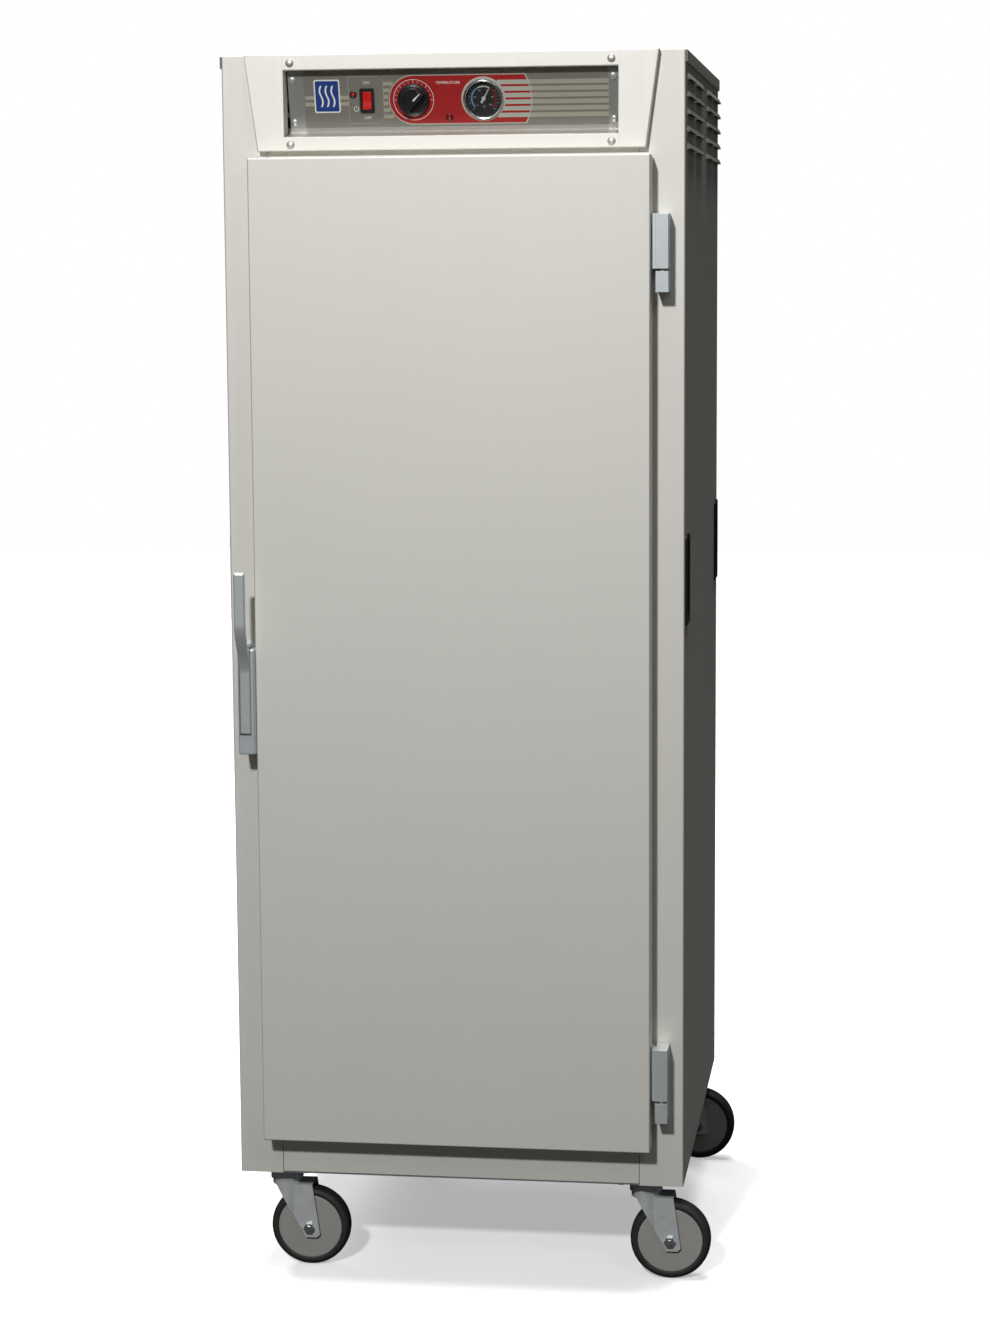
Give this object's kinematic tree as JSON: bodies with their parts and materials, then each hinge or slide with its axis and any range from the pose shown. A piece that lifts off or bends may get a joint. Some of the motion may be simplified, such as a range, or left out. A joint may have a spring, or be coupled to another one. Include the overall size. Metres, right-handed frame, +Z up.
{
  "type": "heated holding cabinet",
  "caption": "Upright insulated holding and proofing cabinet on swivel casters: one hinged door with lever latch, a recessed control panel and wire pan slides.",
  "frame": {"origin": "on the floor under the middle of the cabinet's overall box, latch lever, louvres and trailing caster wheels included", "axes": "+X towards the door's hinge side, +Y towards the back, +Z up; the door's face looks along -Y"},
  "size_m": [0.748, 0.8486, 1.902],
  "materials": {
    "stainless": "satin",
    "liner_steel": "satin",
    "rack_wire": "satin",
    "galvanised": "matt",
    "glass_wool": "matt",
    "motor_black": "satin",
    "blower_zinc": "satin",
    "heater_sheath": "matt",
    "thermostat_plastic": "matt",
    "bright_fastener": "polished",
    "panel_grey": "satin",
    "black_plastic": "satin",
    "knob_black": "gloss",
    "switch_red": "gloss",
    "lamp_red": "gloss",
    "gauge_chrome": "polished",
    "dial_black": "matt",
    "needle_white": "matt",
    "gauge_glass": "clear",
    "cast_zinc": "satin",
    "strike_steel": "satin",
    "gasket_grey": "matt",
    "caster_zinc": "satin",
    "caster_steel": "satin",
    "hub_grey": "matt",
    "tread_black": "matt"
  },
  "bodies": {
    "cabinet": {"side_panel_left": "stainless", "side_panel_right": "stainless", "back_panel": "stainless", "top_cover": "stainless", "front_sill": "stainless", "front_header": "stainless", "fascia_frame": "stainless", "inner_liner": "liner_steel", "rear_air_duct": "liner_steel", "slide_uprights": "rack_wire", "wire_slides": "rack_wire", "base_chassis": "galvanised", "heat_module_tray": "galvanised", "cabinet_insulation": "glass_wool", "blower_motor": "motor_black", "heater_element": "heater_sheath", "thermostat": "thermostat_plastic", "terminal_block": "thermostat_plastic", "fascia_rivets_screws": "bright_fastener", "control_panel": "panel_grey", "rocker_bezel": "black_plastic", "power_inlet": "black_plastic", "hand_grips": "black_plastic", "indicator_lamps": "lamp_red", "gauge_case": "gauge_chrome", "gauge_dial": "dial_black", "gauge_lens": "gauge_glass", "hinge_blocks": "cast_zinc", "latch_strike": "strike_steel", "hinge_pins": "strike_steel", "caster_plates": "caster_zinc", "caster_bolts": "caster_steel"},
    "door": {"door_skin": "stainless", "door_liner": "liner_steel", "door_core": "glass_wool", "door_gasket": "gasket_grey", "hinge_leaves": "cast_zinc", "latch_body": "cast_zinc", "latch_pin": "strike_steel"},
    "latch": {"latch_lever": "cast_zinc"},
    "rocker_switch": {"rocker": "switch_red"},
    "thermostat_dial": {"temperature_knob": "knob_black"},
    "thermometer_needle": {"gauge_needle": "needle_white"},
    "blower": {"blower_wheel": "blower_zinc"},
    "swivel_front_left": {"fork_front_left": "caster_zinc", "axle_front_left": "caster_steel"},
    "wheel_front_left": {"hub_front_left": "hub_grey", "tyre_front_left": "tread_black"},
    "swivel_front_right": {"fork_front_right": "caster_zinc", "axle_front_right": "caster_steel"},
    "wheel_front_right": {"hub_front_right": "hub_grey", "tyre_front_right": "tread_black"},
    "swivel_rear_left": {"fork_rear_left": "caster_zinc", "axle_rear_left": "caster_steel"},
    "wheel_rear_left": {"hub_rear_left": "hub_grey", "tyre_rear_left": "tread_black"},
    "swivel_rear_right": {"fork_rear_right": "caster_zinc", "axle_rear_right": "caster_steel"},
    "wheel_rear_right": {"hub_rear_right": "hub_grey", "tyre_rear_right": "tread_black"}
  },
  "joints": [
    {"name": "door_hinge", "type": "hinge", "parent": "cabinet", "child": "door", "pos_m": [0.303, -0.36825, 0.99], "axis": [0, 0, 1], "range_deg": [0, 180]},
    {"name": "latch_pull", "type": "hinge", "parent": "door", "child": "latch", "pos_m": [-0.3347, -0.37025, 0.955], "axis": [1, 0, 0], "range_deg": [0, 20], "stiffness_Nm_per_rad": 2, "springref_deg": -8.59},
    {"name": "power_rocker", "type": "hinge", "parent": "cabinet", "child": "rocker_switch", "pos_m": [-0.147, -0.31635, 1.83475], "axis": [1, 0, 0], "range_deg": [0, 12]},
    {"name": "temperature_turn", "type": "hinge", "parent": "cabinet", "child": "thermostat_dial", "pos_m": [-0.076, -0.31925, 1.834], "axis": [0, -0.9681, -0.2504], "range_deg": [-45, 225]},
    {"name": "needle_sweep", "type": "hinge", "parent": "cabinet", "child": "thermometer_needle", "pos_m": [0.03, -0.31925, 1.834], "axis": [0, -0.9681, -0.2504], "range_deg": [-105, 165], "stiffness_Nm_per_rad": 0.001},
    {"name": "blower_spin", "type": "hinge", "parent": "cabinet", "child": "blower", "pos_m": [-0.017, -0.00225, 1.79], "axis": [0, 0, 1], "continuous": true},
    {"name": "swivel_turn_front_left", "type": "hinge", "parent": "cabinet", "child": "swivel_front_left", "pos_m": [-0.3055, -0.27625, 0.15], "axis": [0, 0, 1], "continuous": true},
    {"name": "wheel_roll_front_left", "type": "hinge", "parent": "swivel_front_left", "child": "wheel_front_left", "pos_m": [-0.2665, -0.27625, 0.0635], "axis": [0, 1, 0], "continuous": true},
    {"name": "swivel_turn_front_right", "type": "hinge", "parent": "cabinet", "child": "swivel_front_right", "pos_m": [0.2715, -0.27625, 0.15], "axis": [0, 0, 1], "continuous": true},
    {"name": "wheel_roll_front_right", "type": "hinge", "parent": "swivel_front_right", "child": "wheel_front_right", "pos_m": [0.3105, -0.27625, 0.0635], "axis": [0, 1, 0], "continuous": true},
    {"name": "swivel_turn_rear_left", "type": "hinge", "parent": "cabinet", "child": "swivel_rear_left", "pos_m": [-0.3055, 0.35975, 0.15], "axis": [0, 0, 1], "continuous": true},
    {"name": "wheel_roll_rear_left", "type": "hinge", "parent": "swivel_rear_left", "child": "wheel_rear_left", "pos_m": [-0.2665, 0.35975, 0.0635], "axis": [0, 1, 0], "continuous": true},
    {"name": "swivel_turn_rear_right", "type": "hinge", "parent": "cabinet", "child": "swivel_rear_right", "pos_m": [0.2715, 0.35975, 0.15], "axis": [0, 0, 1], "continuous": true},
    {"name": "wheel_roll_rear_right", "type": "hinge", "parent": "swivel_rear_right", "child": "wheel_rear_right", "pos_m": [0.3105, 0.35975, 0.0635], "axis": [0, 1, 0], "continuous": true}
  ]
}
